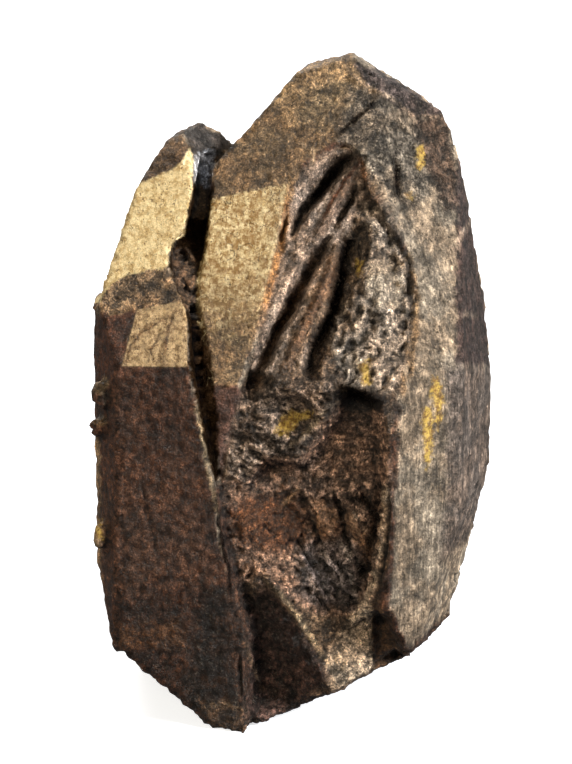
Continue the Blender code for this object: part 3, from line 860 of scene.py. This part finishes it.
class Nodes:
    """Short calls for building a material's nodes."""

    def __init__(self, name):
        self.material = bpy.data.materials.new(name)
        self.material.use_nodes = True
        self.tree = self.material.node_tree
        self.shader = self.tree.nodes["Principled BSDF"]
        self.place = self.tree.nodes.new("ShaderNodeTexCoord").outputs["Object"]

    def node(self, kind, **inputs):
        made = self.tree.nodes.new(kind)
        for name, value in inputs.items():
            self.give(made.inputs[name.replace("_", " ")], value)
        return made

    def give(self, socket, value):
        if isinstance(value, bpy.types.NodeSocket):
            self.tree.links.new(value, socket)
        elif isinstance(value, (tuple, np.ndarray)):
            socket.default_value = (*value, 1.0)[:len(socket.default_value)]
        else:
            socket.default_value = value

    def stored(self, name, output="Fac"):
        made = self.tree.nodes.new("ShaderNodeAttribute")
        made.attribute_name = name
        return made.outputs[output]

    def noise(self, size, detail=4.0, rough=0.6):
        """Noise from 0 to 1, its bumps about size mm across, or a size for each axis."""
        sizes = size if isinstance(size, tuple) else (size, size, size)
        place = self.tree.nodes.new("ShaderNodeVectorMath")
        place.operation = "DIVIDE"
        self.give(place.inputs[0], self.place)
        place.inputs[1].default_value = [length * MM for length in sizes]
        made = self.node("ShaderNodeTexNoise", Vector=place.outputs[0], Scale=1.0,
                         Detail=detail, Roughness=rough)
        return made.outputs["Fac"]

    def cells(self, size, feature):
        """Distances of a Voronoi pattern, its cells about size mm across, with bent edges."""
        bend = self.tree.nodes.new("ShaderNodeVectorMath")
        bend.operation = "MULTIPLY_ADD"
        warp = self.node("ShaderNodeTexNoise", Vector=self.place, Scale=2 / (size * MM), Detail=4.0)
        self.give(bend.inputs[0], warp.outputs["Color"])
        bend.inputs[1].default_value = [0.5 * size * MM] * 3
        self.give(bend.inputs[2], self.place)
        pattern = self.tree.nodes.new("ShaderNodeTexVoronoi")
        pattern.feature = feature
        pattern.inputs["Scale"].default_value = 1 / (size * MM)
        self.give(pattern.inputs["Vector"], bend.outputs[0])
        return pattern.outputs["Distance"]

    def pits(self, size, radius):
        """1 in small round pits, 0 elsewhere; only some cells have one."""
        hole = self.ramp(self.cells(size, "F1"), radius * 0.6, radius * 1.2, 1.0, 0.0)
        return self.math("MULTIPLY", hole, self.ramp(self.noise(1.1, 4.0, 0.6), 0.46, 0.52))

    def cracks(self, size, width, seldom, strength=1.0):
        """1 on thin bent lines, in patches: fewer as seldom grows."""
        line = self.ramp(self.cells(size, "DISTANCE_TO_EDGE"), 0.0, width, 1.0, 0.0)
        patch = self.ramp(self.noise(size * 1.6, 5.0, 0.6), seldom, seldom + 0.06, 0.0, strength)
        return self.math("MULTIPLY", line, patch)

    def strokes(self, size, width, seldom, strength=1.0):
        """1 on short thin scratches, fewer as seldom grows."""
        level = self.math("ABSOLUTE", self.math("SUBTRACT", self.noise(size, 2.0, 0.5)))
        line = self.ramp(level, width * 0.4, width, 1.0, 0.0)
        spread = self.noise(size[0] * 1.3, 4.0, 0.6)
        patch = self.ramp(spread, seldom, seldom + 0.04, 0.0, strength)
        return self.math("MULTIPLY", line, patch)

    def math(self, operation, first, second=0.5):
        made = self.tree.nodes.new("ShaderNodeMath")
        made.operation = operation
        self.give(made.inputs[0], first)
        self.give(made.inputs[1], second)
        return made.outputs[0]

    def ramp(self, value, low, high, start=0.0, end=1.0):
        """start below low, end above high, smooth between."""
        made = self.tree.nodes.new("ShaderNodeMapRange")
        made.interpolation_type = "SMOOTHSTEP"
        made.inputs["From Min"].default_value = low
        made.inputs["From Max"].default_value = high
        made.inputs["To Min"].default_value = start
        made.inputs["To Max"].default_value = end
        self.give(made.inputs["Value"], value)
        return made.outputs["Result"]

    def mix(self, share, first, second, blend="MIX"):
        made = self.tree.nodes.new("ShaderNodeMix")
        made.data_type = "RGBA"
        made.blend_type = blend
        self.give(made.inputs["Factor"], share)
        self.give(made.inputs[6], first)
        self.give(made.inputs[7], second)
        return made.outputs[2]

    def mixed_number(self, share, first, second):
        made = self.tree.nodes.new("ShaderNodeMix")
        self.give(made.inputs["Factor"], share)
        self.give(made.inputs["A"], first)
        self.give(made.inputs["B"], second)
        return made.outputs["Result"]

    def scaled(self, colour, factor):
        """A colour times a number."""
        made = self.tree.nodes.new("ShaderNodeVectorMath")
        made.operation = "SCALE"
        self.give(made.inputs[0], colour)
        self.give(made.inputs["Scale"], factor)
        return made.outputs[0]


# Colours of the painted golden and pane-shaped reflections, of the face's pits in them, and of their
# parts broken up where the face is worn.
GOLD_REFLECTION = (235, 214, 166)
GOLD_REFLECTION_DIM = (190, 160, 108)
GOLD_REFLECTION_PIT = (92, 68, 40)
RIGHT_SHARE = (1.02, 1.06, 1.13)
GOLD_REFLECTION_WORN = (144, 112, 68)
PANE_REFLECTION = (212, 182, 139)
PANE_REFLECTION_DIM = (140, 112, 78)
OCHRE_LIGHT = (224, 188, 92)
OCHRE_DARK = (142, 106, 50)
SPARK = (196, 178, 158)
COOL_TINT = (0.96, 1.00, 1.05)
WARM_TINT = (1.04, 0.99, 0.95)
ZIRCON_IOR = 1.46
BUMP = 0.32
"""How deep in mm the finest relief is, which the mesh doesn't carry."""


class Patterns:
    """The noises and marks that the material's colour, gloss and relief share, 0 to 1 each."""

    def __init__(self, make):
        self.body = make.noise(1.3, 7.0, 0.66)
        self.grain = make.noise(0.36, 5.0, 0.72)
        self.grit = make.noise(0.13, 3.0, 0.66)
        self.streaks = make.noise((0.2, 0.2, 1.8), 4.0, 0.62)
        self.pits = make.pits(0.42, 0.16)
        self.cracks = make.cracks(1.5, 0.02, 0.52)
        self.dark_strokes = make.strokes((0.42, 0.42, 0.8), 0.014, 0.47, 0.8)
        self.pale_strokes = make.strokes((0.55, 0.55, 1.0), 0.011, 0.52)
        self.craggy = make.noise(0.8, 6.0, 0.76)
        level = make.math("ABSOLUTE", make.math("SUBTRACT", make.noise(0.9, 5.0, 0.7)))
        self.veins = make.ramp(level, 0.0, 0.035, 1.0, 0.0)
        self.ground = make.stored("ground")
        self.fade = make.stored("fade")
        wobble = make.math("SUBTRACT", make.noise(0.4, 4.0, 0.7))
        self.wobble = make.math("MULTIPLY", wobble, 9.0)
        self.gold = make.ramp(make.math("ADD", make.stored("gold"), self.wobble), -1, 2)
        right = make.ramp(make.math("ADD", make.stored("gold_right"), self.wobble), -1, 3)
        self.faded = make.math("MULTIPLY", right, self.fade)
        self.dimmed = make.ramp(make.noise(0.42, 8.0, 0.78), 0.44, 0.6)
        self.fretted = make.math("MAXIMUM", self.pits, self.dark_strokes)


def rock_colour(make, patterns):
    """The painted tone broken up by grain, tint, streaks, pits and cracks."""
    grain, grit, streaks = patterns.grain, patterns.grit, patterns.streaks
    streaky = make.stored("streaky")
    colour = make.scaled(make.stored("tone", "Color"), make.ramp(patterns.body, 0.34, 0.66, 0.5, 1.55))
    coarse = make.ramp(grain, 0.34, 0.66, 0.5, 1.48)
    coarse = make.math("MULTIPLY", coarse, make.ramp(grit, 0.36, 0.64, 0.6, 1.35))
    coarse = make.math("MULTIPLY", coarse, make.ramp(grit, 0.6, 0.68, 1.0, 1.8))
    fine = make.ramp(grain, 0.34, 0.66, 0.74, 1.24)
    fine = make.math("MULTIPLY", fine, make.ramp(grit, 0.36, 0.64, 0.8, 1.2))
    colour = make.scaled(colour, make.mixed_number(streaky, coarse, fine))
    tint = make.mix(make.ramp(make.noise(3.2, 6.0, 0.6), 0.42, 0.58), COOL_TINT, WARM_TINT)
    colour = make.mix(1.0, colour, tint, "MULTIPLY")
    colour = make.scaled(colour, make.ramp(streaks, 0.35, 0.65, 0.8, 1.2))
    marks = (
        (patterns.pits, 0.35), (patterns.cracks, 0.4),
        (patterns.dark_strokes, 0.45), (patterns.pale_strokes, 1.7),
    )
    for mark, factor in marks:
        colour = make.scaled(colour, make.ramp(mark, 0.0, 1.0, 1.0, factor))
    bands = make.ramp(make.noise((0.8, 0.8, 7.0), 3.0, 0.5), 0.4, 0.6, 0.9, 1.35)
    bands = make.math("MULTIPLY", bands, make.ramp(streaks, 0.36, 0.64, 0.85, 1.15))
    return make.scaled(colour, make.mixed_number(streaky, 1.0, bands))


def broken_colour(make, patterns, colour):
    """The rock's colour on hackly ground: light and dark chips, dark veins, small glints."""
    broken = make.scaled(colour, make.ramp(patterns.craggy, 0.42, 0.58, 0.35, 1.95))
    broken = make.scaled(broken, make.ramp(patterns.veins, 0.0, 1.0, 1.0, 0.35))
    sparks = make.ramp(make.noise(0.17, 2.0, 0.6), 0.58, 0.7)
    broken = make.mix(make.math("MULTIPLY", sparks, 0.2), broken, linear(SPARK))
    return make.mix(patterns.ground, colour, broken)


def reflection_tone(make, patterns, light, dim, low, high):
    """A painted reflection on a face: its light colour worn to a dimmer one, with the face's dark pits
    and strokes.
    """
    tone = make.mix(patterns.dimmed, linear(light), linear(dim))
    tone = make.mix(patterns.fretted, tone, linear(GOLD_REFLECTION_PIT))
    return make.scaled(tone, make.ramp(patterns.grit, 0.36, 0.64, low, high))


def right_reflection_tone(make, patterns, tone):
    """The taller crystal's painted golden reflection: broken to brown in patches where the face is
    worn, scored, darker downwards.
    """
    tone = make.mix(1.0, tone, RIGHT_SHARE, "MULTIPLY")
    worn = make.ramp(patterns.grain, 0.40, 0.56, 0.75, 0.0)
    worn = make.math("ADD", worn, make.ramp(patterns.streaks, 0.42, 0.56, 0.3, 0.0))
    worn = make.math("ADD", worn, make.ramp(patterns.craggy, 0.40, 0.52, 0.7, 0.0))
    worn = make.math("MINIMUM", worn, 1.0)
    worn = make.math("MAXIMUM", worn, make.math("MULTIPLY", patterns.veins, 0.6))
    tone = make.mix(worn, tone, linear(GOLD_REFLECTION_WORN))
    scored = make.math("MAXIMUM", patterns.dark_strokes, patterns.cracks)
    tone = make.scaled(tone, make.ramp(scored, 0.0, 1.0, 1.0, 0.3))
    return make.scaled(tone, make.ramp(patterns.fade, 0.35, 1.0, 0.75, 1.08))


def painted_reflections(make, patterns, stone):
    """The stone's colour with the painted golden reflections on the two crystals' faces and the
    pane-shaped painted reflection laid over it.
    """
    gold_tone = reflection_tone(make, patterns, GOLD_REFLECTION, GOLD_REFLECTION_DIM, 0.85, 1.1)
    pane_tone = reflection_tone(make, patterns, PANE_REFLECTION, PANE_REFLECTION_DIM, 0.8, 1.15)
    colour = make.mix(patterns.gold, stone, gold_tone)
    colour = make.mix(make.ramp(make.stored("pane"), -1, 1), colour, pane_tone)
    patchy = make.math("ADD", make.noise(0.5, 8.0, 0.7), patterns.fade)
    patchy = make.ramp(patchy, 0.85, 1.15)
    right_gold = make.math("MULTIPLY", patterns.faded, patchy)
    colour = make.mix(right_gold, colour, right_reflection_tone(make, patterns, gold_tone))
    # Pale scratches that catch the painted reflection, drawn in its colour.
    scratched = make.math("MULTIPLY", patterns.pale_strokes, patterns.faded)
    colour = make.mix(scratched, colour, linear(GOLD_REFLECTION))
    return make.mix(make.stored("marked"), colour, stone)


def stained(make, patterns, colour):
    """The colour with the ochre stains, ragged at their edges."""
    wander = make.math("MULTIPLY", make.math("SUBTRACT", make.noise(0.6, 8.0, 0.7)), 22.0)
    stain = make.ramp(make.math("ADD", make.stored("ochre"), wander), -2, 4)
    ochre = make.mix(make.ramp(patterns.grain, 0.42, 0.58), linear(OCHRE_DARK), linear(OCHRE_LIGHT))
    return make.mix(make.math("MULTIPLY", stain, 0.9), colour, ochre)


def fine_relief(make, patterns):
    """The height that the bump reads: each pattern times how far it stands out."""
    crags = make.math("MULTIPLY", patterns.craggy, 1.2)
    crags = make.math("SUBTRACT", crags, make.math("MULTIPLY", patterns.veins, 0.25))
    height = make.math("MULTIPLY", crags, patterns.ground)
    rises = (
        (patterns.body, 0.5), (patterns.grain, 0.4), (patterns.grit, 0.22),
        (patterns.pits, -0.2), (patterns.dark_strokes, -0.2), (patterns.streaks, 0.2),
    )
    for pattern, rise in rises:
        height = make.math("ADD", height, make.math("MULTIPLY", pattern, rise))
    return height


def zircon_material():
    make = Nodes("zircon")
    patterns = Patterns(make)
    stone = broken_colour(make, patterns, rock_colour(make, patterns))
    colour = stained(make, patterns, painted_reflections(make, patterns, stone))
    make.give(make.shader.inputs["Base Color"], colour)
    # metallic only where shade is painted, so the painted shade reflects little
    make.give(make.shader.inputs["Metallic"], make.stored("shade"))
    make.shader.inputs["IOR"].default_value = ZIRCON_IOR
    polished = make.math("MAXIMUM", patterns.gold, patterns.faded)
    shine = make.math("MAXIMUM", make.stored("shine"), polished)
    dull = make.ramp(patterns.grain, 0.35, 0.65, 0.44, 0.74)
    dull = make.math("SUBTRACT", dull, make.math("MULTIPLY", shine, 0.22))
    make.give(make.shader.inputs["Roughness"], dull)
    height = fine_relief(make, patterns)
    bump = make.node("ShaderNodeBump", Height=height, Distance=BUMP * MM)
    calm = make.math("SUBTRACT", 1.0, make.math("MULTIPLY", polished, 0.5))
    make.give(bump.inputs["Strength"], calm)
    make.give(make.shader.inputs["Normal"], bump.outputs["Normal"])
    return make.material


# ---------------------------- stage and light

def make_floor():
    bpy.ops.mesh.primitive_plane_add(size=4.0)
    floor = bpy.context.object
    floor.name = "floor"
    make = Nodes("pale floor")
    make.give(make.shader.inputs["Base Color"], (0.80, 0.85, 0.95))
    make.shader.inputs["Roughness"].default_value = 0.9
    make.give(make.shader.inputs["Emission Color"], (1.0, 1.0, 1.0))
    make.shader.inputs["Emission Strength"].default_value = 0.67
    floor.data.materials.append(make.material)
    floor.visible_diffuse = False
    floor.visible_glossy = False


def soft_light(name, azimuth, elevation, distance, size, watts, colour=(1, 1, 1)):
    """A softbox that looks at the middle of the stone; lengths in mm."""
    data = bpy.data.lights.new(name, "AREA")
    data.shape = "RECTANGLE"
    data.size, data.size_y = size[0] * MM, size[1] * MM
    data.energy = watts
    data.color = colour
    light = bpy.data.objects.new(name, data)
    bpy.context.scene.collection.objects.link(light)
    turn, rise = math.radians(azimuth), math.radians(elevation)
    away = Vector((
        math.sin(turn) * math.cos(rise), -math.cos(turn) * math.cos(rise), math.sin(rise)
    ))
    light.location = (Vector(TARGET) + away * distance) * MM
    light.rotation_euler = away.to_track_quat("Z", "Y").to_euler()


def make_light():
    world = bpy.data.worlds.new("studio")
    bpy.context.scene.world = world
    world.use_nodes = True
    background = world.node_tree.nodes["Background"]
    background.inputs["Color"].default_value = (1.0, 1.0, 1.0, 1.0)
    background.inputs["Strength"].default_value = 0.2
    soft_light("key", 66, 30, 400, (110, 150), 2.9, (1.0, 0.97, 0.92))
    soft_light("left", -32, 32, 500, (200, 200), 1.2, (1.0, 0.86, 0.62))
    soft_light("back", 200, 35, 500, (200, 200), 1.4, (1.0, 0.96, 0.9))
    bpy.context.scene.view_settings.view_transform = "Standard"


def main():
    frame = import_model()
    noise.seed_set(NOISE_SEED)
    node = frame["nodes"][NODE]
    piece = even_faces(node)
    shape_surface(piece.data)
    paint(piece.data)
    piece.data.materials.append(zircon_material())
    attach(piece, "root")
    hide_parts(NODE)
    make_floor()
    make_light()
    make_camera()
    bpy.context.view_layer.update()


for leftover in list(bpy.data.objects):
    bpy.data.objects.remove(leftover)
main()
